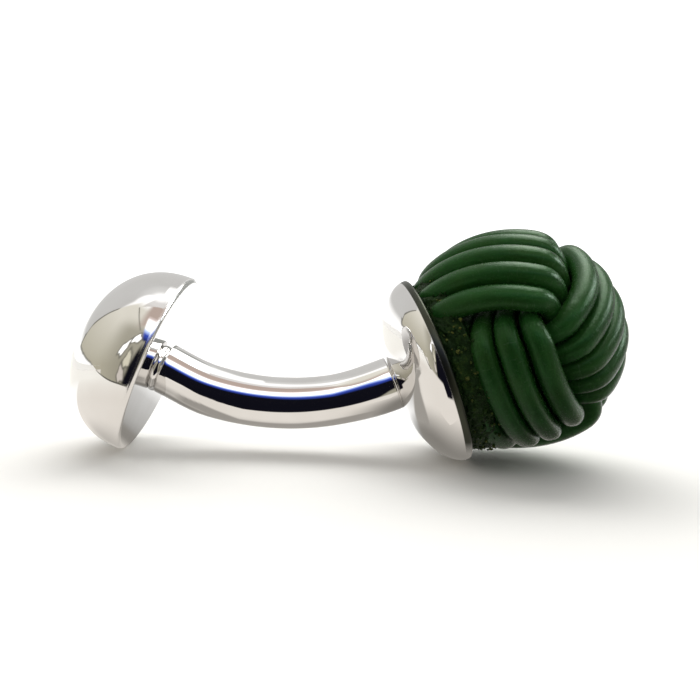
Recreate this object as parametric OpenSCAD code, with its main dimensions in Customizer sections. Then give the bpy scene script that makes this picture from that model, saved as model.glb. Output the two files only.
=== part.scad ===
// Knot cufflink: a bent solid post with a polished domed foot at one end and, at the
// other, a shallow metal cup that holds a round knot of leather cord.
// Millimetres. It lies as it rests on a table: X runs along the cufflink, the knot is at
// +X, Z is up, and the origin is at the middle of its footprint on the table.

/* [Foot] */
// Diameter of the domed foot
foot_d = 10.7; // [9:0.05:13]
// Height of the dome above its flat inner face
foot_h = 4.65; // [3:0.05:6]
// Fullness of the dome (2 is an ellipse, more is squarer)
foot_fullness = 2.3; // [2:0.05:3]
// Radius of the rounded rim of the foot
foot_rim_r = 0.25; // [0.05:0.01:0.4]
// Tilt of the foot against the end of the post, in degrees
foot_tilt = 5.5; // [-8:0.5:8]
// How far the foot's middle lies above the end of the post
foot_shift = 0.35; // [0:0.01:0.5]

/* [Post] */
// Diameter of the post
post_d = 2.85; // [2:0.05:4]
// Radius of the bend along the middle of the post
post_bend_r = 15.9; // [12:0.1:30]
// Angle that the post bends through
post_bend = 49.4; // [20:0.2:60]
// Diameter of the collar between the post and what it carries
collar_d = 2.6; // [1.8:0.05:2.8]
// Length of the collar at the foot
foot_collar = 0.35; // [0.2:0.01:0.8]
// Length of the collar at the cup
cup_collar = 0.18; // [0.1:0.01:0.8]

/* [Cup] */
// Diameter of the cup at its rim
cup_d = 11.2; // [9:0.1:13]
// Depth of the cup outside
cup_h = 2.65; // [1.5:0.05:4]
// Thickness of the cup's wall
cup_wall = 0.3; // [0.2:0.05:0.4]
// Tilt of the cup against the end of the post, in degrees
cup_tilt = -1.5; // [-8:0.5:8]

/* [Knot] */
// Thickness of the leather cord
cord_d = 1.26; // [0.9:0.01:1.28]
// Distance between neighbouring turns of a band
cord_pitch = 1.33; // [1.32:0.01:1.36]
// Radius of the knot at the middle of its outer turns
knot_r = 5.84; // [5.8:0.02:6]
// Height of the knot's middle above the plane of the cup's rim
knot_rise = 5.15; // [5.1:0.05:5.8]
// How much fuller the knot is on the side that is pressed into the cup
knot_fullness = 0.09; // [0:0.01:0.12]
// Turn of the knot about the cup's axis, in degrees
knot_roll = 29.3; // [-45:0.1:45]
// Nod of the knot about the level line across the cup, in degrees
knot_nod = 1.5; // [-15:0.1:15]
// Turn of the knot about the line that points up across the cup, in degrees
knot_yaw = -31.7; // [-45:0.1:45]
// Radius at which a turn passes beneath the crossing band
under_r = 3.5; // [3.4:0.01:3.6]
// Angle from the outermost point of a turn at which it starts to dive
dive_start = 35; // [33:1:36]
// Angle at which it has gone beneath the crossing band
dive_end = 72; // [64:1:76]
// Diameter of the plain bead that the knot is worked round
core_d = 5.6; // [4:0.1:5.7]
// Thickness of the collar of dried glue where the knot leaves the cup
glue_t = 0.2; // [0.1:0.05:0.3]
// Angle up to which dried glue shows, from the cup's axis at the middle of the knot
glue_reach = 56; // [51:1:62]
// Gap left between pieces that only glue or pressure holds together
seat_gap = 0.05; // [0.02:0.01:0.08]

/* [Quality] */
// Sides of a cord's section
cord_sides = 10; // [8:1:10]
// Sections along each turn of cord
cord_rings = 50; // [36:1:52]

/* [Hidden] */
// Each band: its name, the face it lies on, the way it runs and the way its turns are set
TOP = 0;
END = 1;
SIDE = 2;
bands = [
    ["cord_long", TOP, END, SIDE],
    ["cord_upright", SIDE, TOP, END],
    ["cord_cross", END, SIDE, TOP],
];
turns = 5;
function turn_name(b, i) = str(bands[b][0], "_", i);
turn_names = [for (b = [0 : len(bands) - 1]) for (i = [1 : turns]) turn_name(b, i)];

silver = [0.82, 0.82, 0.83];
leather = [0.10, 0.30, 0.14];
dried_glue = [0.30, 0.32, 0.12];
plain_bead = [0.62, 0.50, 0.36];
$fn = 96;

foot_r = foot_d / 2;
cup_r = cup_d / 2;
half_bend = post_bend / 2;
outline_steps = 24;
rim_steps = 4;
weld = 0.3;
// Turn of the foot's own seam about its axis, clear of the point that it rests on
foot_seam = 3.6;

function eased(x) = let (t = max(0, min(1, x))) t * t * (3 - 2 * t);
function spun(v, axis, a) = v * cos(a) + cross(axis, v) * sin(a) + axis * (axis * v) * (1 - cos(a));

// The middle of the post bends in the XZ plane, with its lowest point at the origin
function post_point(a) = [post_bend_r * sin(a), 0, post_bend_r * (1 - cos(a))];
foot_angle = half_bend - foot_tilt;
cup_angle = half_bend + cup_tilt;
foot_out = [-cos(foot_angle), 0, sin(foot_angle)];
cup_out = [cos(cup_angle), 0, sin(cup_angle)];
foot_up = [sin(foot_angle), 0, cos(foot_angle)];
foot_face = post_point(-half_bend) + foot_out * foot_collar + foot_up * foot_shift;
cup_apex = post_point(half_bend) + cup_out * cup_collar;
cup_rim = cup_apex + cup_out * cup_h;

// Outline of the foot as [radius, height above the inner face]
function dome_radius(h) = foot_r * pow(1 - pow(h / foot_h, foot_fullness), 1 / foot_fullness);
dome_outline = [for (s = [1 : outline_steps])
    let (h = foot_rim_r + (foot_h - foot_rim_r) * sin(90 * s / outline_steps))
    [s == outline_steps ? 0 : dome_radius(h), h]];
foot_rim_outline = [for (s = [0 : rim_steps])
    let (a = 90 * s / rim_steps)
    [foot_r - foot_rim_r * (1 - sin(a)), foot_rim_r * (1 - cos(a))]];
foot_outline = concat([[0, 0]], foot_rim_outline, dome_outline);

// The rest angle about Y lets the foot's rim and the cup touch the table together
function rested(v, p) = [v.x * cos(p) + v.z * sin(p), 0, v.z * cos(p) - v.x * sin(p)];
function steep(d) = sqrt(1 - d.z * d.z);
function foot_low(p) =
    let (c = rested(foot_face + foot_out * foot_rim_r, p), d = rested(foot_out, p))
    c.z - (foot_r - foot_rim_r) * steep(d) - foot_rim_r;
function cup_low(p) =
    let (c = rested(cup_rim, p), d = rested(cup_out, p))
    c.z - sqrt(pow(cup_h * d.z, 2) + pow(cup_r * steep(d), 2));
function level_angle(lo, hi, n) =
    let (mid = (lo + hi) / 2)
    n == 0 ? mid
    : foot_low(mid) > cup_low(mid) ? level_angle(lo, mid, n - 1)
    : level_angle(mid, hi, n - 1);
rest_angle = level_angle(-20, 20, 24);
lift = -cup_low(rest_angle);
foot_reach = min([for (q = foot_outline)
    let (d = rested(foot_out, rest_angle))
    rested(foot_face + foot_out * q[1], rest_angle).x - q[0] * abs(d.z)]);
knot_reach = rested(cup_rim + cup_out * knot_rise, rest_angle).x + knot_r + cord_d / 2;
middle_x = (foot_reach + knot_reach) / 2;

// Directions of the knot in the cup's frame, whose Z is the cup's axis and -X points up
level_line = [0, 1, 0];
up_line = [-1, 0, 0];
cup_axis = [0, 0, 1];
function knot_turned(v) =
    spun(spun(spun(v, cup_axis, knot_roll), level_line, knot_nod), up_line, knot_yaw);
knot_dirs = [knot_turned(up_line), knot_turned(cup_axis), knot_turned(-level_line)];

// A turn of cord: over the knot at its two outermost points, beneath the crossing band
// between them, where the turns are drawn together and squeezed
gather = 0.82;
gather_start = 30;
gather_end = 55;
squeeze = 0.79;
squeeze_start = 30;
squeeze_end = 54;
function from_top(a) = acos(min(1, abs(cos(a))));
function stage(a, start, end) = eased((from_top(a) - start) / (end - start));
function pressed_scale(toward) = 1 + knot_fullness * pow((1 + toward) / 2, 2);
function pressed(p) = p * pressed_scale(-p.z / norm(p));
function turn_point(b, i, a) =
    let (
        offset = (i - (turns + 1) / 2) * cord_pitch,
        dive = stage(a, dive_start, dive_end),
        over = sqrt(knot_r * knot_r - offset * offset),
        under = sqrt(under_r * under_r - pow(gather * offset, 2)),
        r = over * (1 - dive) + under * dive,
        side = offset * (1 - (1 - gather) * stage(a, gather_start, gather_end)),
        face = knot_dirs[bands[b][1]],
        run = knot_dirs[bands[b][2]],
        across = knot_dirs[bands[b][3]]
    )
    pressed(face * r * cos(a) + run * r * sin(a) + across * side);
function cord_r(a) = cord_d / 2 * (1 - (1 - squeeze) * stage(a, squeeze_start, squeeze_end));
function unit(v) = v / norm(v);
look_ahead = 1;
function turn_section(b, i, a) =
    let (
        middle = turn_point(b, i, a),
        forward = unit(turn_point(b, i, a + look_ahead) - turn_point(b, i, a - look_ahead)),
        outward = unit(cross(knot_dirs[bands[b][3]], forward)),
        sideways = cross(forward, outward)
    )
    [for (s = [0 : cord_sides - 1])
        let (q = 360 * s / cord_sides)
        middle + cord_r(a) * (outward * cos(q) + sideways * sin(q))];

// Outline of the knot's outer skin as [radius, height above the rim], from the cup's axis
function skin_point(a, extra) =
    let (r = (knot_r + cord_d / 2) * pressed_scale(cos(a)) + extra)
    [r * sin(a), knot_rise - r * cos(a)];
cup_inside_r = cup_r - cup_wall;
cup_inside_h = cup_h - cup_wall;
glue_steps = 12;
glue_start = 49;

module laid() {
    translate([-middle_x, 0, lift])
        rotate([0, rest_angle, 0])
            children();
}

module at_foot() {
    translate(foot_face)
        rotate([0, foot_angle - 90, 0])
            children();
}

module at_cup() {
    translate(cup_rim)
        rotate([0, 90 - cup_angle, 0])
            children();
}

module foot() {
    at_foot()
        rotate([0, 0, foot_seam])
            rotate_extrude()
                polygon(foot_outline);
}

module post() {
    translate([0, 0, post_bend_r])
        rotate([90, 0, 0])
            rotate([0, 0, -90 - half_bend])
                rotate_extrude(angle = post_bend)
                    translate([post_bend_r, 0])
                        circle(d = post_d);
}

// A round-edged collar that stands on Z = 0 and is welded into what lies on both sides
module collar(length) {
    edge = length / 2;
    side = [for (s = [0 : 2 * rim_steps])
        let (a = 90 * s / rim_steps)
        [collar_d / 2 - edge * (1 - sin(a)), edge * (1 - cos(a))]];
    rotate_extrude()
        polygon(concat([[0, -weld], [collar_d / 2 - edge, -weld]], side,
                       [[collar_d / 2 - edge, length + weld], [0, length + weld]]));
}

module foot_neck() {
    at_foot()
        translate([-foot_shift, 0, 0])
            mirror([0, 0, 1])
                collar(foot_collar);
}

module cup_neck() {
    at_cup()
        translate([0, 0, -cup_h - cup_collar])
            collar(cup_collar);
}

module cup() {
    outside = [for (s = [0 : outline_steps])
        let (a = 90 * s / outline_steps)
        [cup_r * sin(a), -cup_h * cos(a)]];
    rim = [for (s = [1 : 2 * rim_steps - 1])
        let (a = 90 * s / rim_steps)
        [cup_r - cup_wall / 2 * (1 - cos(a)), cup_wall / 2 * sin(a)]];
    inside = [for (s = [outline_steps : -1 : 0])
        let (a = 90 * s / outline_steps)
        [cup_inside_r * sin(a), -cup_inside_h * cos(a)]];
    at_cup()
        rotate_extrude()
            polygon(concat(outside, rim, inside));
}

module cufflink_frame() {
    color(silver)
        laid()
            union() {
                foot();
                foot_neck();
                post();
                cup_neck();
                cup();
            }
}

// Dried glue fills the cup round the knot and stands a little way up its side
module glue_bed() {
    bed_r = cup_inside_r - seat_gap;
    bed_h = cup_inside_h - seat_gap;
    against_cup = [for (s = [0 : glue_steps])
        let (a = 90 * s / glue_steps)
        [bed_r * sin(a), -bed_h * cos(a)]];
    fillet = [for (s = [0 : glue_steps])
        let (t = s / glue_steps)
        skin_point(glue_start + (glue_reach - glue_start) * t, seat_gap + glue_t * (1.2 - t))];
    against_knot = [for (s = [glue_steps : -1 : 0])
        skin_point(glue_reach * s / glue_steps, seat_gap)];
    color(dried_glue)
        laid()
            at_cup()
                rotate_extrude()
                    polygon(concat(against_cup, [[bed_r, cup_wall / 2]], fillet, against_knot));
}

module core_bead() {
    color(plain_bead)
        laid()
            at_cup()
                translate([0, 0, knot_rise])
                    sphere(d = core_d);
}

// One closed turn of cord, swept along its path
module cord_turn(b, i) {
    points = [for (j = [0 : cord_rings - 1])
        for (q = turn_section(b, i, 360 * j / cord_rings)) q];
    faces = [for (j = [0 : cord_rings - 1])
        for (s = [0 : cord_sides - 1])
            let (
                here = j * cord_sides,
                next = ((j + 1) % cord_rings) * cord_sides,
                s2 = (s + 1) % cord_sides
            )
            [here + s, next + s, next + s2, here + s2]];
    color(leather)
        laid()
            at_cup()
                translate([0, 0, knot_rise])
                    polyhedron(points, faces, convexity = 6);
}

cufflink_frame();
glue_bed();
core_bead();
for (b = [0 : len(bands) - 1]) {
    for (i = [1 : turns]) {
        cord_turn(b, i);
    }
}
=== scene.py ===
import math
import bpy
import numpy as np
from mathutils import Matrix, Vector, noise


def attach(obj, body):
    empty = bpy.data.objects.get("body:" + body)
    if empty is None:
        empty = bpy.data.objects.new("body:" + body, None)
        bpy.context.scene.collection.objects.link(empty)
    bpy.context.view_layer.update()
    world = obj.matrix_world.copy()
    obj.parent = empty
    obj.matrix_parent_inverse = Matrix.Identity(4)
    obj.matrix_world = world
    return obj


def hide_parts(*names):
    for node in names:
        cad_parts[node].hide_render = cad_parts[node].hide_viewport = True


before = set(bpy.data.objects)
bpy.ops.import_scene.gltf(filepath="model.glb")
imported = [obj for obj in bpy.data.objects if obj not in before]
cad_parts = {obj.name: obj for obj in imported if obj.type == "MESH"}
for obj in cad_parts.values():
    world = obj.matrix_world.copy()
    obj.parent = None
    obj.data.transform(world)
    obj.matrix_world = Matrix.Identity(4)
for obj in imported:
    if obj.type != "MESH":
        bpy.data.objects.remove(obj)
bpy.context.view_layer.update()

# Shapes are worked out in millimetres and degrees, and stored in metres
MM = 0.001

# The same named sizes as the CAD source
FOOT_D, FOOT_H, FOOT_FULLNESS, FOOT_RIM_R = 10.7, 4.65, 2.3, 0.25
FOOT_TILT, FOOT_SHIFT = 5.5, 0.35
POST_D, POST_BEND_R, POST_BEND = 2.85, 15.9, 49.4
FOOT_COLLAR, CUP_COLLAR = 0.35, 0.18
CUP_D, CUP_H, CUP_WALL, CUP_TILT = 11.2, 2.65, 0.3, -1.5
CORD_D, CORD_PITCH, TURNS = 1.26, 1.33, 5
KNOT_R, KNOT_RISE, KNOT_FULLNESS = 5.84, 5.15, 0.09
KNOT_ROLL, KNOT_NOD, KNOT_YAW = 29.3, 1.5, -31.7
UNDER_R, DIVE_START, DIVE_END = 3.5, 35.0, 72.0
GATHER, GATHER_START, GATHER_END = 0.82, 30.0, 55.0
SQUEEZE, SQUEEZE_START, SQUEEZE_END = 0.79, 30.0, 54.0
SEAT_GAP, GLUE_REACH = 0.05, 56.0

rad = math.radians


def unit(v):
    """Vectors turned into vectors of length one."""
    v = np.asarray(v, float)
    return v / np.linalg.norm(v, axis=-1, keepdims=True)


def about_y(v, degrees):
    """Turns points about Y the way rotate([0, degrees, 0]) does in the CAD source."""
    c, s = math.cos(rad(degrees)), math.sin(rad(degrees))
    v = np.asarray(v, float)
    x, y, z = v[..., 0], v[..., 1], v[..., 2]
    return np.stack([x * c + z * s, y, z * c - x * s], -1)


def spun(v, axis, degrees):
    """Turns a vector about a unit axis."""
    c, s = math.cos(rad(degrees)), math.sin(rad(degrees))
    return v * c + np.cross(axis, v) * s + axis * (axis @ v) * (1 - c)


def eased(x):
    """Nought up to nought, one from one on, and a smooth curve between."""
    t = np.clip(x, 0, 1)
    return t * t * (3 - 2 * t)


def stage(x, start, end):
    """How far x has gone from start to end, eased, from nought to one."""
    return eased((x - start) / (end - start))


def roughness_at(p, size, octaves=4):
    """A fixed random roughness, about -1 to 1, with lumps of this size."""
    return noise.fractal(Vector(p) / size, 1.0, 2.1, octaves)


# Where the pieces lie: the post bends in the XZ plane, and the whole lies on the floor

def post_point(a):
    return np.array([POST_BEND_R * math.sin(rad(a)), 0, POST_BEND_R * (1 - math.cos(rad(a)))])


HALF_BEND = POST_BEND / 2
FOOT_ANGLE = HALF_BEND - FOOT_TILT
CUP_ANGLE = HALF_BEND + CUP_TILT
foot_out = np.array([-math.cos(rad(FOOT_ANGLE)), 0, math.sin(rad(FOOT_ANGLE))])
foot_up = np.array([math.sin(rad(FOOT_ANGLE)), 0, math.cos(rad(FOOT_ANGLE))])
cup_out = np.array([math.cos(rad(CUP_ANGLE)), 0, math.sin(rad(CUP_ANGLE))])
foot_face = post_point(-HALF_BEND) + foot_out * FOOT_COLLAR + foot_up * FOOT_SHIFT
cup_apex = post_point(HALF_BEND) + cup_out * CUP_COLLAR
cup_rim = cup_apex + cup_out * CUP_H


def lowest(p):
    """Height of the foot's and of the cup's lowest point when the part is turned p about Y."""
    edge, d = about_y(foot_face + foot_out * FOOT_RIM_R, p), about_y(foot_out, p)
    foot = edge[2] - (FOOT_D / 2 - FOOT_RIM_R) * math.sqrt(1 - d[2] ** 2) - FOOT_RIM_R
    rim, d = about_y(cup_rim, p), about_y(cup_out, p)
    cup = rim[2] - math.hypot(CUP_H * d[2], CUP_D / 2 * math.sqrt(1 - d[2] ** 2))
    return foot, cup


def rest_angle():
    low, high = -20.0, 20.0
    for _ in range(24):
        middle = (low + high) / 2
        foot, cup = lowest(middle)
        low, high = (low, middle) if foot > cup else (middle, high)
    return (low + high) / 2


def dome_outline(steps):
    """Outline of the dome above its rounded rim as [radius, height above the inner face]."""
    turns = [rad(90 * s / steps) for s in range(1, steps + 1)]
    heights = [FOOT_RIM_R + (FOOT_H - FOOT_RIM_R) * math.sin(turn) for turn in turns]
    full = FOOT_FULLNESS
    dome = [[FOOT_D / 2 * max(0.0, 1 - (h / FOOT_H) ** full) ** (1 / full), h] for h in heights]
    dome[-1][0] = 0
    return dome


REST = rest_angle()
LIFT = -lowest(REST)[1]
foot_reach = min(about_y(foot_face + foot_out * h, REST)[0] - r * abs(about_y(foot_out, REST)[2])
                 for r, h in dome_outline(24))
knot_reach = about_y(cup_rim + cup_out * KNOT_RISE, REST)[0] + KNOT_R + CORD_D / 2
MIDDLE = np.array([(foot_reach + knot_reach) / 2, 0, 0])


def laid(v):
    """From the post's frame to the frame of the part as it lies."""
    return about_y(v, REST) - MIDDLE + np.array([0, 0, LIFT])


def at_foot(v):
    """From the dome's frame, with its inner face on Z = 0, to where the foot lies."""
    return laid(about_y(v, FOOT_ANGLE - 90) + foot_face)


def at_cup(v):
    """From the cup's frame, with its rim on Z = 0, to where the cup lies."""
    return laid(about_y(v, 90 - CUP_ANGLE) + cup_rim)


# Meshes

def new_mesh(name, points, faces):
    mesh = bpy.data.meshes.new(name)
    mesh.from_pydata([tuple(p) for p in np.asarray(points, float) * MM], [], faces)
    mesh.polygons.foreach_set("use_smooth", [True] * len(mesh.polygons))
    mesh.update()
    obj = bpy.data.objects.new(name, mesh)
    bpy.context.scene.collection.objects.link(obj)
    return obj


def store(obj, name, values, kind="FLOAT_VECTOR"):
    """Keeps a value for each vertex, for the material to read."""
    field = "vector" if kind == "FLOAT_VECTOR" else "value"
    layer = obj.data.attributes.new(name, kind, "POINT")
    layer.data.foreach_set(field, np.asarray(values, np.float32).ravel())


def lathe(outline, place, sides=224):
    """Points and faces of an outline of [radius, height] turned about the local Z axis."""
    points, faces, rings = [], [], []
    turn = np.arange(sides) * 2 * math.pi / sides
    for r, h in outline:
        if r < 1e-9:
            rings.append([len(points)])
            points.append((0, 0, h))
        else:
            rings.append(list(range(len(points), len(points) + sides)))
            points.extend(zip(r * np.cos(turn), r * np.sin(turn), [h] * sides))
    for a, b in zip(rings, rings[1:]):
        for s in range(sides):
            t = (s + 1) % sides
            if len(a) == 1 and len(b) == 1:
                continue
            if len(a) == 1:
                faces.append((a[0], b[t], b[s]))
            elif len(b) == 1:
                faces.append((a[s], a[t], b[0]))
            else:
                faces.append((a[s], a[t], b[t], b[s]))
    return place(np.array(points, float)), faces


def joined(parts):
    """Several lots of points and faces as one."""
    points, faces, n = [], [], 0
    for p, f in parts:
        points.append(p)
        faces += [tuple(i + n for i in face) for face in f]
        n += len(p)
    return np.concatenate(points), faces


def arc(centre, r, a0, a1, steps):
    """Points [radius, height] on a rounded edge, from angle a0 to a1 in degrees."""
    return [[centre[0] + r * math.cos(rad(a)), centre[1] + r * math.sin(rad(a))]
            for a in np.linspace(a0, a1, steps + 1)]


# The polished metal: foot, neck, post, neck and cup

# The post that is seen is a little fuller than the CAD model's, and its middle lies a little higher
POST_FULLER, FULLER_AT_CUP, SLIMMER_AT_FOOT = 0.10, 0.09, 0.04
POST_RAISE, RAISE_AT_CUP, RAISE_AT_FOOT = 0.03, 0.05, 0.17
# Its rounded edge at the foot, how much its end slants there, and how far it reaches into the cup
POST_EDGE, POST_SLANT, POST_REACH = 0.07, 0.22, 0.26
# The soldered necks: their radius at the wide end and at the narrow one, and how uneven they are
FOOT_NECK_WIDE, FOOT_NECK_NARROW, FOOT_NECK_UNEVEN = 1.38, 0.86, 0.09
CUP_NECK_WIDE, CUP_NECK_NARROW, CUP_NECK_UNEVEN = 1.22, 1.13, 0.05
# How much longer the foot's neck is than in the CAD model, and how far off the dome's middle it sits
FOOT_NECK_LONGER, FOOT_NECK_SHIFT = 0.1, 0.25
# How far each neck goes on inside what it joins, and the size of the lumps in the solder
WELD, SOLDER_LUMP = 0.3, 0.6


def foot_outline():
    r, rim = FOOT_D / 2, FOOT_RIM_R
    flat = [[r * part, 0] for part in (0, 0.3, 0.6, 0.85)]
    flat += [[r - rim - 0.05, 0], [r - rim - 0.01, 0]]
    return flat + arc((r - rim, rim), rim, -90, 0, 8) + dome_outline(90)


def neck_outline(length, wide, narrow):
    """A soldered neck, wide where it stands on Z = 0 and rounded towards the end of the post."""
    turns = [rad(t) for t in np.linspace(0, 90, 25)]
    side = [[narrow + (wide - narrow) * math.cos(t) ** 1.3, length * math.sin(t)] for t in turns]
    start = [[0, -WELD], [wide, -WELD], [wide, -0.01]]
    return start + side + [[narrow, length + WELD], [0, length + WELD]]


def cup_outline():
    r, wall = CUP_D / 2, CUP_WALL
    outside = [[r * math.sin(rad(a)), -CUP_H * math.cos(rad(a))] for a in np.linspace(0, 90, 81)]
    rim = arc((r - wall / 2, 0), wall / 2, 0, 180, 12)[1:-1]
    inner_r, inner_h = r - wall, CUP_H - wall
    inside = [[inner_r * math.sin(rad(a)), -inner_h * math.cos(rad(a))] for a in np.linspace(90, 0, 31)]
    outside[0][0] = inside[-1][0] = 0
    return outside + rim + inside


def post_r(a):
    """Radius of the post that is seen, at angle a from its middle."""
    return POST_D / 2 + POST_FULLER + FULLER_AT_CUP * stage(a, 12, 24) - SLIMMER_AT_FOOT * stage(-a, 12, 24)


def post_raise(a):
    """How far the middle of the post that is seen lies above that of the CAD model."""
    return POST_RAISE + RAISE_AT_FOOT * stage(-a, 14, 24) + RAISE_AT_CUP * stage(a, 10, 24)


def post_stations(steps=110):
    """Angles along the post, each with how far its ring is drawn in, or None where an end is closed."""
    first, last = -HALF_BEND, HALF_BEND + math.degrees(POST_REACH / POST_BEND_R)
    stations = [(first, None)]
    for t in np.linspace(0, 90, 9):
        along = math.degrees(POST_EDGE * (1 - math.cos(rad(t))) / POST_BEND_R)
        stations.append((first + along, POST_EDGE * (1 - math.sin(rad(t)))))
    start = stations[-1][0]
    stations += [(a, 0.0) for a in np.linspace(start, last, steps + 1)[1:]]
    return stations + [(last, None)]


def post_tube(sides=112):
    """The bent post. Its end at the foot is cut parallel to the foot, and the other lies against the cup."""
    points, faces, rings = [], [], []
    for a, inset in post_stations():
        out = np.array([-math.sin(rad(a)), 0, math.cos(rad(a))])
        along = np.array([math.cos(rad(a)), 0, math.sin(rad(a))])
        cut = POST_SLANT * stage(-a, 12, HALF_BEND)
        centre = post_point(a) + out * post_raise(a)
        if inset is None:
            rings.append([len(points)])
            points.append(centre - along * cut / 2)
            continue
        rings.append(list(range(len(points), len(points) + sides)))
        for s in range(sides):
            t = 2 * math.pi * s / sides
            side = out * math.cos(t) + np.array([0, 1, 0]) * math.sin(t)
            points.append(centre + (post_r(a) - inset) * side - along * cut * (1 + math.cos(t)) / 2)
    for a, b in zip(rings, rings[1:]):
        for s in range(sides):
            t = (s + 1) % sides
            if len(a) == 1:
                faces.append((a[0], b[s], b[t]))
            elif len(b) == 1:
                faces.append((a[s], b[0], a[t]))
            else:
                faces.append((a[s], b[s], b[t], a[t]))
    return laid(np.array(points)), faces


def uneven(points, size):
    """A soldered neck is never quite round."""
    lump = np.array([roughness_at(p, SOLDER_LUMP, 1) for p in points])
    return points * (1 + size * lump[:, None] * [1, 1, 0])


def measured(points, place):
    """How far points lie along a part's own axis, and how far from it."""
    centre = place(np.zeros(3))
    axis = unit(place(np.array([0, 0, 1.0])) - centre)
    height = (points - centre) @ axis
    return height, np.linalg.norm(points - centre - height[:, None] * axis, axis=1)


def dull_at_foot(points):
    """Half along the foot's rounded rim, which the buffing wheel left a little matt."""
    height, across = measured(points, at_foot)
    r, rim = FOOT_D / 2, FOOT_RIM_R
    return 0.5 * stage(across, r - 0.3, r - 0.2) * stage(-height, -rim - 0.1, -rim)


def dull_at_cup(points):
    """Half along the cup's lip, and up to one towards its top, where the metal is drawn dark as well as
    duller.
    """
    height = measured(points, at_cup)[0]
    upward = points[:, 2] - at_cup(np.zeros(3))[2]
    return stage(height, -0.36, -0.26) * (0.5 + 0.5 * stage(upward, -4.8, -3.2))


def metal_frame():
    def foot_neck(v):
        return at_foot(uneven(v, FOOT_NECK_UNEVEN) * [1, -1, -1] - [FOOT_NECK_SHIFT, 0, 0])

    def cup_neck(v):
        return at_cup(uneven(v, CUP_NECK_UNEVEN) * [1, -1, -1] - [0, 0, CUP_H])

    foot_neck_shape = neck_outline(FOOT_COLLAR + FOOT_NECK_LONGER, FOOT_NECK_WIDE, FOOT_NECK_NARROW)
    cup_neck_shape = neck_outline(CUP_COLLAR, CUP_NECK_WIDE, CUP_NECK_NARROW)
    parts = [
        lathe(foot_outline(), at_foot),
        lathe(foot_neck_shape, foot_neck, 144),
        post_tube(),
        lathe(cup_neck_shape, cup_neck, 144),
        lathe(cup_outline(), at_cup),
    ]
    obj = new_mesh("polished_frame", *joined(parts))
    foot, *between, cup = [points for points, faces in parts]
    bright = np.zeros(sum(len(points) for points in between))
    store(obj, "dull", np.concatenate([dull_at_foot(foot), bright, dull_at_cup(cup)]), "FLOAT")
    return obj


# The leather knot. Directions are in the cup's frame: Z is the cup's axis and -X points up

UP_LINE, LEVEL_LINE, CUP_AXIS = np.array([-1.0, 0, 0]), np.array([0, 1.0, 0]), np.array([0, 0, 1.0])


def knot_turned(v):
    return spun(spun(spun(v, CUP_AXIS, KNOT_ROLL), LEVEL_LINE, KNOT_NOD), UP_LINE, KNOT_YAW)


TOP, END, SIDE = knot_turned(UP_LINE), knot_turned(CUP_AXIS), knot_turned(-LEVEL_LINE)
# Each band: its name, the face it lies on, the way it runs, and the way its turns are set
BANDS = [("cord_long", TOP, END, SIDE), ("cord_upright", SIDE, TOP, END), ("cord_cross", END, SIDE, TOP)]
# How far each band slipped sideways when the knot was drawn tight
SLIPS = {"cord_long": 0.17, "cord_upright": 0.057, "cord_cross": 0.038}
# How much further out or in each band lies, and how much lower it is away from its top
SWELLS = {"cord_long": 0.055, "cord_upright": 0.017, "cord_cross": -0.058}
DROPS = {"cord_long": -0.017, "cord_upright": 0.019, "cord_cross": 0.014}
# The knot sits a little above the cup's axis
KNOT_HEART = np.array([-0.16, 0.02, KNOT_RISE])

# Leather is soft, so the turns press against each other and fill the knot. What is seen is
# fuller than the round cord of the CAD model, with its outer skin in the same place.
SEEN_R = 0.70
SEEN_KNOT_R = KNOT_R + CORD_D / 2 - SEEN_R
CREASE = 0.02
SECTION_SIDES, SECTION_RINGS = 32, 260
# How square the section is towards a neighbour and towards nothing, where 2 is round
PRESSED_SHAPE, FREE_SHAPE = 2.35, 2.0
# How much a turn wavers outward, sideways and in thickness
WAVER_OUT, WAVER_SIDE, WAVER_THICK = 0.018, 0.012, 0.02
# How many degrees sooner the upright turns are pulled in, under the lowest turn of the long band
TUCK = 7
# How far that lowest turn is pushed sideways and outward beneath the knot
PUSHED_ASIDE, PUSHED_OUT = 0.16, 0.05
# The leather is creased between these angles from a turn's top, and most between the middle two
CREASED = (14, 34, 58, 80)


def wavering(rng, a, size, waves=(1, 2, 3, 5)):
    """A small smooth change along a turn, different on each."""
    total = np.zeros_like(a)
    for k in waves:
        total += rng.uniform(-1, 1) / k * np.cos(np.radians(k * a + rng.uniform(0, 360)))
    return size * total


def pressed_cord(line, across, i, gather, squeeze, fullness):
    """Sweeps the cord's section along a turn, pressed flat where a neighbour lies against it.

    Gives the points, and for each its place along and across the cord, which the grain follows."""
    forward = unit(np.roll(line, -1, 0) - np.roll(line, 1, 0))
    outward = unit(np.cross(across, forward))
    sideways = np.cross(forward, outward)
    # Half width towards a neighbour is half the pitch, and towards nothing it is round
    pressed = (CORD_PITCH - CREASE) / 2 * gather
    free = SEEN_R * squeeze
    high = SEEN_R * squeeze * fullness
    steps = np.linalg.norm(np.roll(line, -1, 0) - line, axis=1)
    along = np.concatenate([[0], np.cumsum(steps)[:-1]]) + 100 * i
    points = np.zeros((SECTION_RINGS, SECTION_SIDES, 3))
    grain = np.zeros((SECTION_RINGS, SECTION_SIDES, 3))
    for j in range(SECTION_SIDES):
        angle = j * 2 * math.pi / SECTION_SIDES
        cosine, sine = math.cos(angle), math.sin(angle)
        neighbour = i < TURNS if sine > 0 else i > 1
        shape = PRESSED_SHAPE if neighbour else FREE_SHAPE
        wide = pressed if neighbour else free
        x = math.copysign(abs(cosine) ** (2 / shape), cosine) * high
        y = math.copysign(abs(sine) ** (2 / shape), sine) * wide
        points[:, j] = line + outward * x[:, None] + sideways * y[:, None]
        grain[:, j] = np.stack([along, x, y], 1)
    return points.reshape(-1, 3), grain.reshape(-1, 3)


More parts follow.
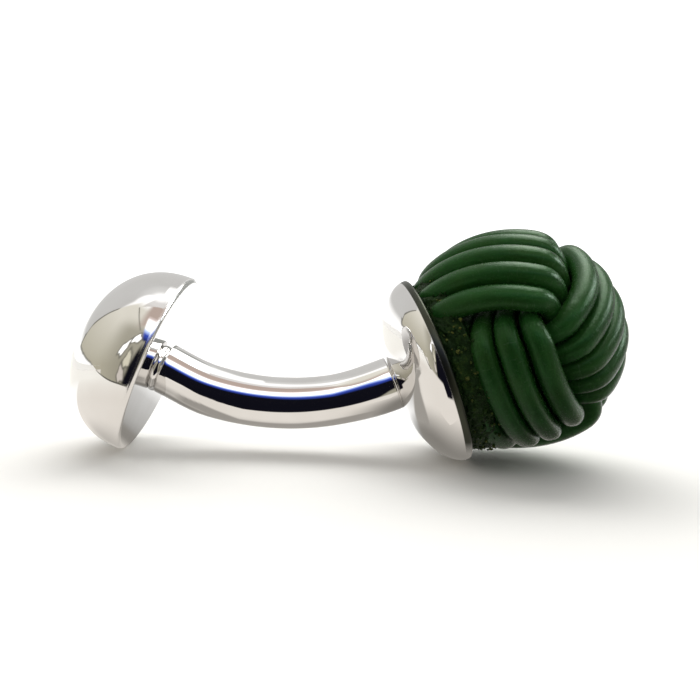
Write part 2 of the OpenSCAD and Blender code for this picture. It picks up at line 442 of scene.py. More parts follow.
def cord_turn(name, face, run, across, i, rng):
    """One closed turn of the knot: over its face, then down and in beneath the crossing band."""
    # The first ring lies beneath the crossing band, so the grain's seam is hidden there
    a = 90 + np.arange(SECTION_RINGS) * 360 / SECTION_RINGS
    c, s = np.cos(np.radians(a)), np.sin(np.radians(a))
    from_top = np.degrees(np.arccos(np.minimum(1, np.abs(c))))
    if name == "cord_upright":
        from_top = from_top + TUCK * eased(-2 * s) * (c > 0)

    dive = stage(from_top, DIVE_START, DIVE_END)
    gather = 1 - (1 - GATHER) * stage(from_top, GATHER_START, GATHER_END)
    squeeze = 1 - (1 - SQUEEZE) * stage(from_top, SQUEEZE_START, SQUEEZE_END)
    offset = (i - (TURNS + 1) / 2) * CORD_PITCH
    over = math.sqrt((SEEN_KNOT_R + SWELLS[name]) ** 2 - offset ** 2) - DROPS[name] * stage(from_top, 10, 40)
    under = math.sqrt(UNDER_R ** 2 - (GATHER * offset) ** 2)
    r = over * (1 - dive) + under * dive + wavering(rng, a, WAVER_OUT)
    side = (offset + SLIPS[name]) * gather + wavering(rng, a, WAVER_SIDE)
    if name == "cord_long" and i == TURNS:
        beneath = eased(-1.6 * c)
        side, r = side + PUSHED_ASIDE * beneath, r + PUSHED_OUT * beneath
    line = np.outer(r * c, face) + np.outer(r * s, run) + np.outer(side, across)
    toward = -line[:, 2] / np.linalg.norm(line, axis=1)
    line *= (1 + KNOT_FULLNESS * ((1 + toward) / 2) ** 2)[:, None]

    fullness = 1 + wavering(rng, a, WAVER_THICK)
    points, grain = pressed_cord(line, across, i, gather, squeeze, fullness)
    n = SECTION_SIDES
    faces = []
    for k in range(SECTION_RINGS):
        here, there = k * n, ((k + 1) % SECTION_RINGS) * n
        faces += [(here + j, there + j, there + (j + 1) % n, here + (j + 1) % n) for j in range(n)]
    obj = new_mesh("leather_" + name[5:] + "_" + str(i), at_cup(points + KNOT_HEART), faces)
    store(obj, "grain", grain)
    start, full, fading, end = CREASED
    bent = 0.5 + 0.5 * stage(from_top, start, full) * (1 - stage(from_top, fading, end))
    store(obj, "bent", np.repeat(bent, SECTION_SIDES), "FLOAT")
    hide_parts(f"{name}_{i}")
    return obj


# Dried glue, with crumbs of leather in it, stands out of the cup round the knot

# Its rough face starts this many degrees from the cup's axis, and ends at GLUE_REACH
GLUE_START, GLUE_SIDES, GLUE_STEPS, CRUMBS = 45, 420, 26, 420
# How far it stands out of the knot's skin where it starts, and how deep in the knot its back lies
GLUE_STAND, GLUE_BACK = 0.14, 0.62
# Size and height of its lumps and of its finer roughness
LUMP, LUMP_HIGH, FINE, FINE_HIGH = 0.55, 0.16, 0.14, 0.06


def skin_point(a, extra):
    """Point [radius, height] on the knot's outer skin, at angle a from the cup's axis."""
    r = (KNOT_R + CORD_D / 2) * (1 + KNOT_FULLNESS * ((1 + math.cos(rad(a))) / 2) ** 2) + extra
    return [r * math.sin(rad(a)), KNOT_RISE - r * math.cos(rad(a))]


def glue_bed(rng):
    bed_r, bed_h = CUP_D / 2 - CUP_WALL - SEAT_GAP, CUP_H - CUP_WALL - SEAT_GAP
    reach = GLUE_REACH - GLUE_START
    against_cup = [[bed_r * math.sin(rad(a)), -bed_h * math.cos(rad(a))] for a in np.linspace(0, 88, 16)]
    shoulder = [[bed_r, -0.05], [bed_r, 0.05], [bed_r - 0.01, 0.14]]
    fillet = [skin_point(GLUE_START + reach * t, GLUE_STAND - 0.5 * t ** 1.5)
              for t in np.linspace(0, 1, GLUE_STEPS)]
    against_knot = [skin_point(a, -GLUE_BACK) for a in np.linspace(GLUE_REACH, 0, 14)]
    outline = against_cup + shoulder + fillet + against_knot
    outline[0][0] = outline[-1][0] = 0
    rough_from = len(against_cup) + len(shoulder)
    points, faces = lathe(outline, lambda v: v, GLUE_SIDES)
    heart = np.array([0, 0, KNOT_RISE])
    for k, point in enumerate(points):
        ring = (k - 1) // GLUE_SIDES + 1
        t = (ring - rough_from) / (GLUE_STEPS - 1)
        if 0 <= t <= 1:
            amount = min(1.0, 5 * t, 8 * (1 - t) + 0.3)
            lump = LUMP_HIGH * roughness_at(point, LUMP) + FINE_HIGH * roughness_at(point, FINE)
            points[k] += unit(point - heart) * amount * lump
    crumbs = []
    for _ in range(CRUMBS):
        angle = rng.uniform(0, 360)
        a = GLUE_START + (reach + 3) * rng.random() ** 0.8
        r, h = skin_point(a, rng.uniform(-0.1, 0.08) - 0.2 * ((a - GLUE_START) / reach) ** 2)
        place = np.array([r * math.cos(rad(angle)), r * math.sin(rad(angle)), h])
        crumbs.append(crumb(place, rng.uniform(0.04, 0.13), rng))
    tints = [np.zeros(len(points))] + [np.full(len(p), t) for p, f, t in crumbs]
    all_points, all_faces = joined([(points, faces)] + [(p, f) for p, f, t in crumbs])
    obj = new_mesh("dried_glue", at_cup(all_points), all_faces)
    store(obj, "crumb", np.concatenate(tints), "FLOAT")
    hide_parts("glue_bed")
    return obj


def crumb(place, size, rng):
    """A small angular lump: a cube's corners and face middles, pushed about."""
    corners = np.array([[x, y, z] for x in (-1, 1) for y in (-1, 1) for z in (-1, 1)], float) * 0.6
    middles = np.array([[1, 0, 0], [-1, 0, 0], [0, 1, 0], [0, -1, 0], [0, 0, 1], [0, 0, -1]], float)
    points = np.concatenate([corners, middles]) * size * rng.uniform(0.7, 1.3, (14, 1))
    points *= rng.uniform(0.6, 1.2, 3)
    faces = []
    for m, middle in enumerate(middles):
        axis = int(np.argmax(np.abs(middle)))
        u, v = (axis + 1) % 3, (axis + 2) % 3
        ring = []
        for du, dv in ((-1, -1), (1, -1), (1, 1), (-1, 1)):
            signs = np.zeros(3)
            signs[axis], signs[u], signs[v] = middle[axis], du, dv
            ring.append(int((signs[0] > 0) * 4 + (signs[1] > 0) * 2 + (signs[2] > 0)))
        if middle[axis] < 0:
            ring.reverse()
        faces += [(8 + m, ring[k], ring[(k + 1) % 4]) for k in range(4)]
    turn = np.linalg.qr(rng.normal(size=(3, 3)))[0]
    turn *= np.sign(np.linalg.det(turn))
    return points @ turn.T + place, faces, rng.uniform(0.2, 1.0)


# Materials

def add(tree, kind, inputs=None, **settings):
    """A node with its settings and inputs, where an input is a value or another node's output."""
    made = tree.nodes.new(kind)
    for key, value in settings.items():
        setattr(made, key, value)
    for key, value in (inputs or {}).items():
        if isinstance(value, bpy.types.NodeSocket):
            tree.links.new(value, made.inputs[key])
        else:
            made.inputs[key].default_value = value
    return made


def ramp(tree, value, stops):
    """Colours or grey levels along a value, as (position, colour) stops."""
    made = add(tree, "ShaderNodeValToRGB", {"Fac": value})
    elements = made.color_ramp.elements
    while len(elements) < len(stops):
        elements.new(0.5)
    for element, (position, colour) in zip(elements, stops):
        element.position = position
        element.color = (*colour, 1) if isinstance(colour, tuple) else (colour, colour, colour, 1)
    return made.outputs["Color"]


def mixed(tree, amount, a, b, blend="MIX"):
    made = add(tree, "ShaderNodeMix", data_type="RGBA", blend_type=blend)
    for socket, value in ((made.inputs[0], amount), (made.inputs[6], a), (made.inputs[7], b)):
        if isinstance(value, bpy.types.NodeSocket):
            tree.links.new(value, socket)
        else:
            socket.default_value = value
    return made.outputs[2]


def noise_at(tree, where, scale, detail=4.0, roughness=0.5):
    inputs = {"Vector": where, "Scale": scale, "Detail": detail, "Roughness": roughness}
    return add(tree, "ShaderNodeTexNoise", inputs).outputs["Fac"]


def scaled(tree, where, factors):
    return add(tree, "ShaderNodeVectorMath", {0: where, 1: factors}, operation="MULTIPLY").outputs[0]


def multiplied(tree, a, b):
    return add(tree, "ShaderNodeMath", {0: a, 1: b}, operation="MULTIPLY").outputs[0]


def in_mm(tree):
    """Places in millimetres, from the object's own coordinates."""
    return scaled(tree, add(tree, "ShaderNodeTexCoord").outputs["Object"], (1000, 1000, 1000))


def new_material(name):
    material = bpy.data.materials.new(name)
    material.use_nodes = True
    tree = material.node_tree
    return material, tree, tree.nodes["Principled BSDF"]


def bumped(tree, height, distance_mm, strength=1.0):
    made = add(tree, "ShaderNodeBump", {"Height": height, "Distance": distance_mm * MM, "Strength": strength})
    return made.outputs["Normal"]


def polished_metal():
    """Mirror-bright plating, with the faintest waves and wipe marks, drawn dark olive where it is most dull.
    """
    material, tree, shader = new_material("silver_metal")
    where = in_mm(tree)
    waves = noise_at(tree, where, 0.45, 2)
    wipes = noise_at(tree, scaled(tree, where, (1.0, 5.0, 5.0)), 3.0, 5, 0.65)
    haze = add(tree, "ShaderNodeMapRange",
               {"Value": wipes, "From Min": 0.35, "From Max": 0.75, "To Min": 0.022, "To Max": 0.06})
    tint = ramp(tree, waves, [(0.3, (0.74, 0.725, 0.71)), (0.7, (0.78, 0.77, 0.76))])
    dull = add(tree, "ShaderNodeAttribute", attribute_name="dull").outputs["Fac"]
    # The base colour goes dark where dull passes 0.6, which happens only along the cup's lip away from its
    # bottom
    darkened = ramp(tree, dull, [(0.6, 0.0), (0.95, 0.97)])
    rough = add(tree, "ShaderNodeMath", {0: multiplied(tree, dull, 0.3), 1: haze.outputs["Result"]},
                operation="ADD")
    shader.inputs["Metallic"].default_value = 1.0
    tree.links.new(mixed(tree, darkened, tint, (0.022, 0.026, 0.014, 1)), shader.inputs["Base Color"])
    tree.links.new(rough.outputs[0], shader.inputs["Roughness"])
    tree.links.new(bumped(tree, waves, 0.004), shader.inputs["Normal"])
    return material


def green_leather():
    """Dyed round leather cord: smooth and waxy, with fine creases where it bends."""
    material, tree, shader = new_material("green_leather")
    grain = add(tree, "ShaderNodeAttribute", attribute_name="grain").outputs["Vector"]
    bent = add(tree, "ShaderNodeAttribute", attribute_name="bent").outputs["Fac"]
    streaks = noise_at(tree, scaled(tree, grain, (0.4, 2.6, 2.6)), 1.0, 4, 0.6)
    blotches = noise_at(tree, grain, 0.9, 3)
    pores = noise_at(tree, scaled(tree, grain, (9.0, 13.0, 13.0)), 1.0, 3, 0.6)
    creases = noise_at(tree, scaled(tree, grain, (6.5, 2.0, 2.0)), 1.0, 6, 0.65)
    body = ramp(tree, streaks, [(0.25, (0.0095, 0.050, 0.008)), (0.5, (0.014, 0.072, 0.012)),
                                (0.75, (0.023, 0.10, 0.020))])
    body = mixed(tree, ramp(tree, blotches, [(0.42, 0.0), (0.75, 0.5)]), body, (0.026, 0.066, 0.011, 1))
    cracked = multiplied(tree, ramp(tree, creases, [(0.56, 0.0), (0.66, 1.0)]), bent)
    body = mixed(tree, multiplied(tree, cracked, 0.35), body, (0.07, 0.13, 0.06, 1))
    gloss = add(tree, "ShaderNodeMapRange",
                {"Value": pores, "From Min": 0.3, "From Max": 0.7, "To Min": 0.17, "To Max": 0.3})
    height = mixed(tree, 0.3, pores, streaks)
    height = mixed(tree, multiplied(tree, bent, 0.75), height, creases)
    tree.links.new(body, shader.inputs["Base Color"])
    tree.links.new(gloss.outputs["Result"], shader.inputs["Roughness"])
    tree.links.new(bumped(tree, height, 0.045), shader.inputs["Normal"])
    shader.inputs["Specular IOR Level"].default_value = 0.19
    shader.inputs["Specular Tint"].default_value = (0.55, 1.0, 0.55, 1)
    return material


def dried_glue_material():
    """Glue dried dark and uneven, glossy in places, with lighter crumbs of leather in it."""
    material, tree, shader = new_material("dried_glue")
    where = in_mm(tree)
    crumb_tint = add(tree, "ShaderNodeAttribute", attribute_name="crumb").outputs["Fac"]
    mottle = noise_at(tree, where, 2.2, 5, 0.65)
    body = ramp(tree, mottle, [(0.3, (0.003, 0.010, 0.002)), (0.5, (0.007, 0.024, 0.005)),
                               (0.62, (0.018, 0.045, 0.007)), (0.75, (0.07, 0.085, 0.018))])
    crumbs = ramp(tree, crumb_tint, [(0.2, (0.006, 0.024, 0.005)), (0.6, (0.018, 0.048, 0.008)),
                                     (0.95, (0.14, 0.15, 0.035))])
    is_crumb = add(tree, "ShaderNodeMath", {0: crumb_tint, 1: 0.1}, operation="GREATER_THAN").outputs[0]
    colour = mixed(tree, is_crumb, body, crumbs)
    gloss = add(tree, "ShaderNodeMapRange",
                {"Value": noise_at(tree, where, 6.0, 3), "From Min": 0.35, "From Max": 0.65,
                 "To Min": 0.12, "To Max": 0.6})
    tree.links.new(colour, shader.inputs["Base Color"])
    tree.links.new(gloss.outputs["Result"], shader.inputs["Roughness"])
    tree.links.new(bumped(tree, noise_at(tree, where, 9.0, 5, 0.7), 0.06), shader.inputs["Normal"])
    shader.inputs["Specular IOR Level"].default_value = 0.15
    shader.inputs["Specular Tint"].default_value = (0.7, 1.0, 0.5, 1)
    return material


def core_wood():
    """A plain turned bead of pale wood, which the knot hides."""
    material, tree, shader = new_material("core_wood")
    where = in_mm(tree)
    swirl = noise_at(tree, scaled(tree, where, (0.2, 1.0, 1.0)), 1.5, 4)
    rings = add(tree, "ShaderNodeTexWave", {"Vector": where, "Scale": 0.9, "Distortion": 3.0})
    ringed = ramp(tree, rings.outputs["Fac"], [(0.2, (0.42, 0.29, 0.17)), (0.9, (0.62, 0.48, 0.32))])
    swirled = ramp(tree, swirl, [(0.3, (0.36, 0.24, 0.14)), (0.7, (0.6, 0.46, 0.3))])
    tree.links.new(mixed(tree, 0.4, ringed, swirled), shader.inputs["Base Color"])
    tree.links.new(bumped(tree, swirl, 0.02), shader.inputs["Normal"])
    shader.inputs["Roughness"].default_value = 0.6
    return material


def dress(obj, material):
    obj.data.materials.clear()
    obj.data.materials.append(material)


# The object

SEED = 7

body = metal_frame()
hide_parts("cufflink_frame")
random = np.random.default_rng(SEED)
leather_turns = [cord_turn(name, face, run, across, i, random)
                 for name, face, run, across in BANDS for i in range(1, TURNS + 1)]
glue = glue_bed(random)

dress(body, polished_metal())
leather = green_leather()
for piece in leather_turns:
    dress(piece, leather)
dress(glue, dried_glue_material())
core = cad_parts["core_bead"]
core.data.materials.clear()
core.data.materials.append(core_wood())
for piece in [body, glue] + leather_turns:
    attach(piece, "root")


# The studio: camera, floor, light and what the polished metal reflects

# The camera's direction and roll in degrees, its distance, what it looks at, and its focal length
CAMERA_AZ, CAMERA_EL, CAMERA_ROLL = -3.190, 3.939, 2.659
CAMERA_DISTANCE, CAMERA_TARGET_X, CAMERA_TARGET_Z = 39.445, 4.186, 6.247
FOCAL_PX, IMAGE_PX, SENSOR = 662.75, 700, 36.0


def camera_axes():
    """The camera's right, up and backward directions."""
    az, el, roll = rad(CAMERA_AZ), rad(CAMERA_EL), rad(CAMERA_ROLL)
    back = np.array([math.sin(az) * math.cos(el), -math.cos(az) * math.cos(el), math.sin(el)])
    level = np.array([math.cos(az), math.sin(az), 0])
    up = np.cross(back, level)
    right = level * math.cos(roll) + up * math.sin(roll)
    upright = up * math.cos(roll) - level * math.sin(roll)
    return right, upright, back


def add_camera():
    data = bpy.data.cameras.new("camera")
    data.sensor_width = SENSOR
    data.lens = FOCAL_PX * SENSOR / IMAGE_PX
    data.clip_start = 0.001
    obj = bpy.data.objects.new("camera", data)
    bpy.context.scene.collection.objects.link(obj)
    right, upright, back = camera_axes()
    place = np.array([CAMERA_TARGET_X, 0, CAMERA_TARGET_Z]) - MIDDLE + back * CAMERA_DISTANCE
    rotation = Matrix([list(row) for row in np.stack([right, upright, back], 1)])
    obj.matrix_world = Matrix.Translation(Vector(place * MM)) @ rotation.to_4x4()
    bpy.context.scene.camera = obj


def floor_material():
    """Matt white paper."""
    material, tree, shader = new_material("floor_white")
    shader.inputs["Base Color"].default_value = (0.9, 0.888, 0.85, 1)
    shader.inputs["Roughness"].default_value = 0.75
    shader.inputs["Specular IOR Level"].default_value = 0.1
    return material


def painted_glow(obj, colours):
    """Makes a surface glow in a colour of its own at each vertex, seen only in the shiny pieces."""
    layer = obj.data.attributes.new("glow", "FLOAT_COLOR", "POINT")
    layer.data.foreach_set("color", np.concatenate([colours, np.ones((len(colours), 1))], 1).ravel())
    material = bpy.data.materials.new(obj.name)
    material.use_nodes = True
    tree = material.node_tree
    colour = add(tree, "ShaderNodeAttribute", attribute_name="glow").outputs["Color"]
    glow = add(tree, "ShaderNodeEmission", {"Color": colour, "Strength": 1.0})
    tree.links.new(glow.outputs[0], tree.nodes["Material Output"].inputs["Surface"])
    obj.data.materials.append(material)
    obj.visible_camera = False
    obj.visible_diffuse = False
    obj.visible_shadow = False
    obj.visible_transmission = False
    obj.visible_volume_scatter = False


def grid_faces(rows, columns, closed=False):
    """Faces between the points of a grid, where closed joins the last column to the first."""
    faces = []
    for i in range(rows - 1):
        for j in range(columns if closed else columns - 1):
            t = (j + 1) % columns
            faces.append((i * columns + j, i * columns + t, (i + 1) * columns + t, (i + 1) * columns + j))
    return faces


def blend(a, b, amount):
    amount = np.clip(amount, 0, 1)[..., None]
    return np.asarray(a) * (1 - amount) + np.asarray(b) * amount


def inside(value, low, high, soft):
    """One between low and high, nought outside, with soft edges."""
    return eased((value - low) / soft + 0.5) * eased((high - value) / soft + 0.5)


def read_off(rows, x):
    """The value at x in a short table of (x, value) rows, with straight lines between them."""
    return np.interp(x, *zip(*rows))


# Colours that the metal sees round it, where more than one is brighter than white paper
WHITE, BEIGE, OLIVE = (1.4, 1.4, 1.39), (0.95, 0.92, 0.82), (0.56, 0.53, 0.42)
GREY, DUSK, BLACK = (0.71, 0.705, 0.69), (0.16, 0.155, 0.13), (0.006, 0.006, 0.011)
BROWN, BLUE, SKY = (0.62, 0.50, 0.44), (0.05, 0.10, 0.62), (0.75, 0.95, 1.5)
SKYLIGHT, LAMP, WINDOW = (7, 7, 6.8), (13, 13.7, 14), (1.9, 1.9, 1.9)
SHEET, OPEN_FLOOR, FLOOR_SHADE = (0.98, 0.93, 0.86), (1.17, 1.15, 1.08), (0.20, 0.19, 0.17)
DIM, CEILING, ROSE = (0.42, 0.43, 0.41), (0.98, 0.975, 0.96), (1.0, 0.85, 0.82)
BROW_LOW, BROW_HIGH = (0.66, 0.60, 0.57), (0.95, 0.93, 0.91)

# The room, in degrees. Azimuth 0 is the camera's side and -90 is the left
# The painted lamp's middle, and its half sizes
LAMP_AZ, LAMP_EL, LAMP_WIDE, LAMP_HIGH = 92, 31, 17, 7
# Azimuth, and the height of the grey walls' top edge there
WALL_TOP = ((-400, 84), (-120, 80), (-90, 66))
# Azimuth, and the height of the beige panel's top edge there
PANEL_TOP = (
    (-121, 8), (-119, 11), (-115, 20), (-108, 28), (-99, 39),
    (-91, 48), (-80, 61), (-68, 70), (-30, 72), (10, 72),
)
# Azimuth, and how soft that edge is there
PANEL_SOFT = ((-119, 1.5), (-91, 3), (-68, 10))
# Azimuth, and the height of the panel's lower edge there
PANEL_FOOT = ((-119, 7), (-101, 5.5), (-82, 2), (-60, -9))


def panel_colour(az, el):
    """The beige panel to the left, lighter towards its top and darker towards the camera."""
    colour = blend(OLIVE, BEIGE, el / 50)
    dark = inside(az, -50, 60, 40) * (1 - stage(el, 40, 60))
    return blend(colour, np.array(OLIVE) * 0.72, dark * 0.8)


def room_colour(az, el):
    """What stands round the object, by direction."""
    colour = np.broadcast_to(WHITE, (len(az), 3))
    # Dim from the right to the back, with one lamp painted in: a bright patch seen only in reflections, which
    # lights nothing
    colour = blend(colour, DIM, inside(az, 20, 171, 8) * inside(el, -9, 52, 16))
    lamp = np.hypot((az - LAMP_AZ) / LAMP_WIDE, (el - LAMP_EL) / LAMP_HIGH)
    colour = blend(colour, LAMP, eased((1.15 - lamp) / 0.3))
    # Grey walls on the left and behind, paler towards the ceiling
    walls = np.maximum(inside(az, -400, -86, 12), inside(az, 171, 400, 6))
    wall = blend(GREY, CEILING, (el - 64) / 20)
    colour = blend(colour, wall, walls * inside(el, 9, read_off(WALL_TOP, az), 8))
    # A brownish brow high over the camera
    brow = blend(BROW_LOW, BROW_HIGH, (el - 66) / 12)
    colour = blend(colour, brow, inside(az, -50, 60, 10) * inside(el, 40, 84, 6))
    # The beige panel, with thin dark lines along its edges
    top, foot = read_off(PANEL_TOP, az), read_off(PANEL_FOOT, az)
    panel = eased((az + 121) / 2) * inside(az, -200, 12, 10)
    panel = panel * eased((top - el) / read_off(PANEL_SOFT, az) + 0.5) * eased((el - foot) / 1.2 + 0.5)
    colour = blend(colour, panel_colour(az, el), panel)
    line = inside(el, top - 1.4, top + 1.4, 1.4) * inside(az, -122, -90, 3)
    line = np.maximum(line, inside(el, foot - 0.7, foot + 0.7, 0.8) * inside(az, -120, -60, 1))
    line = np.maximum(line, inside(az, -121.5, -119, 1) * inside(el, 6, 13, 1.5))
    return blend(colour, DUSK, 0.85 * line)


def add_room(radius=900.0):
    el = np.radians(np.concatenate([np.arange(-2, 89, 0.75), [89.9]]))
    az = np.radians(np.arange(-180, 180, 0.75))
    e, a = np.meshgrid(el, az, indexing="ij")
    points = radius * np.stack([np.sin(a) * np.cos(e), -np.cos(a) * np.cos(e), np.sin(e)], -1)
    faces = grid_faces(len(el), len(az), closed=True)
    last = (len(el) - 1) * len(az)
    faces.append(tuple(range(last, last + len(az))))
    obj = new_mesh("room", points.reshape(-1, 3), faces)
    painted_glow(obj, room_colour(np.degrees(a).ravel(), np.degrees(e).ravel()))


def add_skylight(height=67):
    """A bright pane over the knot, seen only in reflections and lighting nothing, whose painted highlight
    puts the gloss on the leather.
    """
    x, y = np.meshgrid(np.linspace(4, 44, 41), np.linspace(-14, 42, 57))
    points = np.stack([x, y, np.full_like(x, height)], -1).reshape(-1, 3)
    obj = new_mesh("skylight", points, grid_faces(*x.shape))
    pane = inside(x, 8, 40, 7) * inside(y, -10, 38, 7)
    painted_glow(obj, blend(WHITE, SKYLIGHT, pane).reshape(-1, 3))


# Places of the surfaces that stand for what is near, in mm: the front edge of the floor that the metal
# sees, the card behind the camera, the far and side ends of both, and how low and high the card goes
EDGE_Y, CARD_Y, BACK_Y, LEFT_X, RIGHT_X, FAR = -4.5, -39.6, 240.0, -75.0, 55.0, 1500.0
CARD_LOW, CARD_TOP = -60, 150
# The card is painted by direction from this place, near the foot
LOOK_X, LOOK_Y, LOOK_Z = -12, -5, 6

# Bright shapes about the camera: x, z, long and short half sizes, slant in degrees, colour
GLINTS = (
    (-33, 21, 7.0, 2.8, 52, (1.7, 1.7, 1.7)),
    (-22.0, 29.7, 4.4, 3.0, 52, WINDOW),
    (-27.5, 10.5, 6.5, 2.6, 68, (0.86, 0.82, 0.66)),
    (-34, -2, 6.5, 3.0, 72, (0.78, 0.72, 0.66)),
)
# What shows over the camera: colour, height above the camera's edge, softness
OVER_CAMERA = ((BLUE, -3, 7), (SKY, 5, 5), (WINDOW, 10, 4), (ROSE, 30, 8), (BROWN, 36, 10))
# x, and the top edge of the white sheet below the camera there
SHEET_TOP = ((-60, -13), (-18.5, -13), (-15, -27), (-2.5, -22.5), (7.5, -17))


def front_colour(x, z):
    """The camera's dark front, with the window light over it and its blue rim."""
    # The panel goes on behind the camera, below a white ceiling and a brown brow
    away = LOOK_Y - CARD_Y
    az = np.degrees(np.arctan2(x - LOOK_X, away))
    el = np.degrees(np.arctan2(z - LOOK_Z, np.hypot(x - LOOK_X, away)))
    colour = blend(panel_colour(az, el), WHITE, (el - 68) / 8)
    colour = blend(colour, BROWN, inside(x, -24, 60, 14) * stage(z, 42, 52))
    # A dark seam runs up the panel
    seam, half = -22 - 0.343 * (z - 42), 0.012 * z
    colour = blend(colour, DUSK, 0.8 * inside(x, seam - half, seam + half, 0.9) * inside(z, 40, 150, 3))
    for cx, cz, long, short, slant, tint in GLINTS:
        c, s = math.cos(rad(slant)), math.sin(rad(slant))
        u, v = ((x - cx) * c + (z - cz) * s) / long, ((z - cz) * c - (x - cx) * s) / short
        turn = np.arctan2(v, u)
        out = np.hypot(u, v) * (1 + 0.16 * np.sin(3 * turn + cx) + 0.12 * np.sin(5 * turn + 2 * cz))
        colour = blend(colour, DUSK, 0.7 * eased((1.7 - out) / 0.5))
        colour = blend(colour, tint, eased((1.15 - out) / 0.3))
    # The camera is black, between its slanting left side, its top edge and its right side. Below the floor's
    # level the same black is painted shade: the camera's shadow on the floor in front
    side = (x + 27.5 - 0.49 * (z - 2)) * 0.9
    edge = 21 - 0.8 * np.minimum(x + 5, 0)
    out = np.maximum(np.maximum(-side, (z - edge) * 0.75), x - 9)
    colour = blend(BLACK, colour, out / 2.0 + 0.5)
    # The window's light over its top edge
    rise = z - edge
    lit = BLACK
    for tint, height, soft in OVER_CAMERA:
        lit = blend(lit, tint, (rise - height) / soft)
    colour = blend(colour, lit, inside(x, -17.5, 60, 2.5) * eased((rise + 4) / 2))
    return blend(colour, SHEET, (read_off(SHEET_TOP, x) - z) / 3 + 0.5)


def add_front_card():
    """A glowing card behind the camera, seen only in reflections, which goes on down past the front edge of
    the floor; there its black is painted shade, the camera's shadow on the floor.
    """
    for name, low, top in (("front_card", 0, CARD_TOP), ("front_card_below", CARD_LOW, 1)):
        x, z = np.meshgrid(np.arange(LEFT_X, RIGHT_X + 1, 1.0), np.arange(low, top, 1.0))
        points = np.stack([x, np.full_like(x, CARD_Y), z], -1).reshape(-1, 3)
        obj = new_mesh(name, points, grid_faces(*x.shape))
        painted_glow(obj, front_colour(x, z).reshape(-1, 3))
    outline = ((LEFT_X, CARD_Y), (LEFT_X, EDGE_Y), (RIGHT_X, EDGE_Y), (RIGHT_X, CARD_Y))
    corners = [(x, y, z) for z in (CARD_LOW, 0) for x, y in outline]
    obj = new_mesh("front_card_sides", corners, [(0, 1, 5, 4), (1, 2, 6, 5), (2, 3, 7, 6), (0, 3, 2, 1)])
    painted_glow(obj, np.tile(SHEET, (8, 1)))


FLOOR_WHITE = floor_material()
# x, and where the floor that the metal sees ends in front of the object there
BRINK = (
    (-75, -28.7), (-50, -23), (-24, -17), (-18, -16), (-14, -15), (-12, -11),
    (-10, -7.6), (-7, -5), (4, -5), (11, -15), (55, -15),
)
# x, and the near and the far edge of the post's shadow there
POST_SHADE_NEAR = ((-10, -2.9), (-7, -0.9), (-3, -1.0), (1, -1.6))
POST_SHADE_FAR = ((-10, -0.2), (-7, 1.9), (-3, 2.0), (1, 2.6))
# Distance from the foot, and how dark the floor behind it is there
FOOT_SHADE = ((0, 0.93), (3, 0.87), (5, 0.75), (8, 0.67), (11, 0.6), (14, 0.33), (18, 0))


def floor_piece(name, points, faces):
    obj = new_mesh(name, points, faces)
    obj.data.materials.append(FLOOR_WHITE)
    return obj


def floor_plate(name, x0, x1, y0, y1):
    return floor_piece(name, [(x0, y0, 0), (x1, y0, 0), (x1, y1, 0), (x0, y1, 0)], [(0, 1, 2, 3)])


def floor_glow(x, y):
    """The floor's brightness as the metal sees it: dim below each part, and white behind."""
    colour = blend(SHEET, WHITE, (y - 1.9) / 1.0)
    colour = blend(colour, OPEN_FLOOR, (np.hypot(x + 13, y) - 9) / 16 * inside(x, -200, -13, 6))
    near, far = read_off(POST_SHADE_NEAR, x), read_off(POST_SHADE_FAR, x)
    post = 0.72 * inside(y, near, far, 0.7) * inside(x, -12.5, 5, 2)
    foot = np.hypot(x + 13.5, y + 0.5)
    behind = stage(y, -2, 1)
    foot_back = behind * read_off(FOOT_SHADE, foot) * inside(x, -15.5, 60, 3)
    foot_front = (1 - behind) * 0.6 * eased((4.5 - foot) / 4)
    cup = 0.9 * eased((7.5 - np.hypot(x - 6.0, (y - 0.8) / 1.1)) / 5)
    knot = 0.92 * eased((8.5 - np.hypot(x - 13, y + 6)) / 5) * inside(x, 9, 60, 4)
    return blend(colour, FLOOR_SHADE, np.max([post, foot_back, foot_front, cup, knot], axis=0))


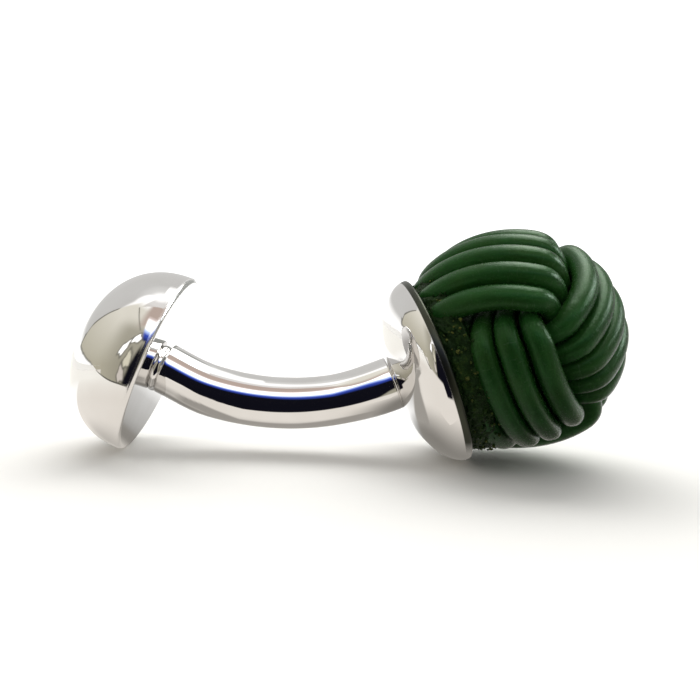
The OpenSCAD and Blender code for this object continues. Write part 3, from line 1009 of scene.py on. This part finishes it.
def add_floor():
    """The floor. In front, where the camera stands over it, the metal sees the painted camera and its painted
    shadow instead.
    """
    floor_plate("floor_behind", -FAR, FAR, BACK_Y, FAR)
    floor_plate("floor_beyond_left", -FAR, LEFT_X, EDGE_Y, BACK_Y)
    floor_plate("floor_beyond_right", RIGHT_X, FAR, EDGE_Y, BACK_Y)
    floor_plate("floor_left", -FAR, LEFT_X, -FAR, EDGE_Y)
    floor_plate("floor_right", RIGHT_X, FAR, -FAR, EDGE_Y)
    floor_plate("floor_far_front", LEFT_X, RIGHT_X, -FAR, CARD_Y)
    middle = floor_plate("floor_middle", LEFT_X, RIGHT_X, EDGE_Y, BACK_Y)
    front = floor_plate("floor_front", LEFT_X, RIGHT_X, CARD_Y, EDGE_Y)
    middle.visible_glossy = False
    front.visible_glossy = False
    front.visible_diffuse = False
    # What the metal sees in their place, with the object's own shadows drawn in
    across = np.arange(LEFT_X, RIGHT_X + 0.1, 0.5)
    brink = read_off(BRINK, across)
    near = brink + (3 - brink) * np.linspace(0, 1, 41)[:, None]
    beyond = np.concatenate([np.arange(3.5, 20, 0.5), np.geomspace(20, BACK_Y, 12)])
    y = np.concatenate([near, np.repeat(beyond[:, None], len(across), 1)])
    x = np.broadcast_to(across, y.shape)
    obj = new_mesh("floor_seen", np.stack([x, y, np.zeros_like(y)], -1).reshape(-1, 3), grid_faces(*y.shape))
    painted_glow(obj, floor_glow(x, y).reshape(-1, 3))
    # A thin dark line along its front edge on the left
    left = across[across < -15]
    line = [np.stack([left, read_off(BRINK, left) + d, np.full_like(left, 0.01)], -1) for d in (0.0, 1.3)]
    obj = new_mesh("brink_line", np.concatenate(line), grid_faces(2, len(left)))
    painted_glow(obj, np.tile(DUSK, (2 * len(left), 1)))
    # Further left in front, painted shade: the floor that the metal sees is as dim as the panel's foot
    points = [(LEFT_X, -28.7, 0.02), (-700, -172, 0.02), (-700, -700, 0.02), (LEFT_X, -700, 0.02)]
    obj = new_mesh("floor_dim", points, [(0, 1, 2, 3)])
    painted_glow(obj, np.tile(OLIVE, (4, 1)))


def add_backdrop(radius=1400.0):
    """The white beyond the floor, for the camera alone."""
    el, az = np.radians([-3, 45]), np.radians(np.arange(0, 360, 5))
    e, a = np.meshgrid(el, az, indexing="ij")
    points = radius * np.stack([np.sin(a) * np.cos(e), np.cos(a) * np.cos(e), np.sin(e)], -1)
    obj = new_mesh("backdrop", points.reshape(-1, 3), grid_faces(*e.shape, closed=True))
    painted_glow(obj, np.tile(WHITE, (e.size, 1)))
    obj.visible_camera = True
    obj.visible_glossy = False


# Light by direction, and the window's edges as sines of height and its half width
BELOW_LIGHT, FRONT_LIGHT, BACK_LIGHT, TOP_LIGHT = 0.12, 0.2, 0.9, 0.7
WINDOW_LIGHT, WINDOW_LOW, WINDOW_HIGH, WINDOW_SIDES = 4.6, 0.64, 0.97, 0.6


def math_node(tree, operation, *values):
    return add(tree, "ShaderNodeMath", dict(enumerate(values)), operation=operation).outputs[0]


def grey(level):
    return (level, level, level, 1)


def add_world():
    """Daylight from a high window behind, dim from all round, and least from the front and below."""
    world = bpy.data.worlds.new("studio")
    world.use_nodes = True
    tree = world.node_tree
    direction = add(tree, "ShaderNodeTexCoord").outputs["Generated"]
    x, y, z = add(tree, "ShaderNodeSeparateXYZ", {0: direction}).outputs
    back = add(tree, "ShaderNodeMapRange", {"Value": y, "From Min": -1.0, "From Max": 1.0}).outputs[0]
    level = ramp(tree, back, [(0.35, FRONT_LIGHT), (0.62, BACK_LIGHT)])
    light = mixed(tree, ramp(tree, z, [(0.45, 0.0), (0.8, 1.0)]), level, grey(TOP_LIGHT))
    # The window: from WINDOW_LOW to WINDOW_HIGH above the floor, and behind rather than beside
    high = ramp(tree, z, [(WINDOW_LOW - 0.03, 0.0), (WINDOW_LOW + 0.03, 1.0),
                          (WINDOW_HIGH - 0.02, 1.0), (WINDOW_HIGH + 0.01, 0.0)])
    sideways = multiplied(tree, math_node(tree, "ABSOLUTE", x), WINDOW_SIDES)
    facing = math_node(tree, "SUBTRACT", math_node(tree, "MAXIMUM", y, 0.0), sideways)
    window = multiplied(tree, high, ramp(tree, facing, [(0.0, 0.0), (0.12, 1.0)]))
    light = mixed(tree, window, light, grey(WINDOW_LIGHT))
    front = ramp(tree, back, [(0.5, 1.0), (0.55, 0.0)])
    below = multiplied(tree, front, ramp(tree, z, [(0.0, 1.0), (0.02, 0.0)]))
    light = mixed(tree, below, light, grey(BELOW_LIGHT))
    background = tree.nodes["Background"]
    tree.links.new(light, background.inputs["Color"])
    background.inputs["Strength"].default_value = 1.0
    bpy.context.scene.world = world


add_camera()
add_backdrop()
add_skylight()
add_floor()
add_world()
add_room()
add_front_card()
bpy.context.scene.view_settings.view_transform = "Standard"
